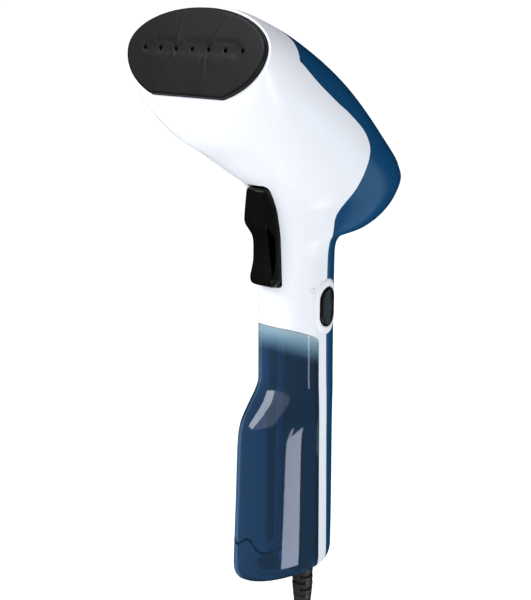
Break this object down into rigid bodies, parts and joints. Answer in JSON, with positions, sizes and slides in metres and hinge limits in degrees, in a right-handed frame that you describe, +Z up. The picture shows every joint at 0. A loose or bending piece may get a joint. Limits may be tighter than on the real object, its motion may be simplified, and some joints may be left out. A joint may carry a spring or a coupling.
{
  "type": "handheld garment steamer",
  "caption": "Handheld garment steamer: flared head with a D-shaped steam plate, slim grip with trigger and button, tank in front of the handle, mains lead with plug.",
  "frame": {"origin": "centre of the grip, where the hand closes, 185 mm above the tank's underside", "axes": "+Z up along the handle, -Y the way the steam plate faces, +X the side with the power button"},
  "size_m": [0.106, 0.1634, 0.6496],
  "materials": {
    "white_plastic": "gloss",
    "blue_plastic": "gloss",
    "tank_plastic": "translucent gloss",
    "black_plastic": "satin",
    "plate_coating": "satin non-stick coating",
    "black_rubber": "matte",
    "strap_fabric": "woven hook and loop",
    "steel": "satin",
    "cast_aluminium": "cast",
    "coil_copper": "enamelled copper",
    "silicone": "matte",
    "natural_plastic": "matte",
    "board_laminate": "lacquered",
    "lead_jacket": "silicone jacket"
  },
  "bodies": {
    "body": {"front_shell": "white_plastic", "rear_shell": "blue_plastic", "steam_plate": "plate_coating", "button_bezel": "white_plastic", "indicator_lens": "natural_plastic", "strain_relief": "black_rubber", "plate_gasket": "silicone", "steam_chamber": "cast_aluminium", "chamber_inlet": "steel", "chamber_screw_1": "steel", "chamber_screw_2": "steel", "chamber_screw_3": "steel", "chamber_screw_4": "steel", "heating_element": "steel", "thermostat": "black_plastic", "thermal_fuse": "cast_aluminium", "heat_shield": "steel", "pump_body": "natural_plastic", "pump_coil": "coil_copper", "inlet_hose": "silicone", "outlet_hose": "silicone", "circuit_board": "board_laminate", "board_relay": "black_plastic", "power_switch": "black_plastic", "microswitch": "black_plastic", "terminal_block": "natural_plastic", "cord_clamp": "black_plastic", "heater_lead_1": "lead_jacket", "heater_lead_2": "lead_jacket", "trigger_pin": "steel", "trigger_spring": "steel", "valve_seat": "black_plastic", "shell_screw_1": "steel", "shell_screw_2": "steel", "shell_screw_3": "steel", "cord_lead": "black_rubber", "cord_hank": "black_rubber", "cord_strap": "strap_fabric", "cord_tail": "black_rubber", "plug_body": "black_plastic", "plug_pin_1": "steel", "plug_pin_2": "steel"},
    "trigger": {"trigger": "black_plastic"},
    "power_button": {"power_button": "black_plastic"},
    "tank": {"tank_shell": "tank_plastic", "tank_base": "tank_plastic", "tank_outlet": "natural_plastic", "tank_seal": "black_rubber", "pickup_tube": "natural_plastic", "pickup_filter": "natural_plastic"},
    "filler_plug": {"filler_plug": "black_rubber"}
  },
  "joints": [
    {"name": "trigger_hinge", "type": "hinge", "parent": "body", "child": "trigger", "pos_m": [0, -0.0192, 0.0365], "axis": [1, 0, 0], "range_deg": [0, 7], "stiffness_Nm_per_rad": 0.35, "springref_deg": -5.73},
    {"name": "power_button_press", "type": "slide", "parent": "body", "child": "power_button", "axis": [-1, 0, 0], "range_m": [0, 0.0015], "stiffness_N_per_m": 600, "springref_m": -0.001},
    {"name": "tank_slide", "type": "slide", "parent": "body", "child": "tank", "axis": [0, 0, -1], "range_m": [0, 0.04]},
    {"name": "filler_plug_pull", "type": "slide", "parent": "tank", "child": "filler_plug", "axis": [0, 0, -1], "range_m": [0, 0.012]}
  ]
}
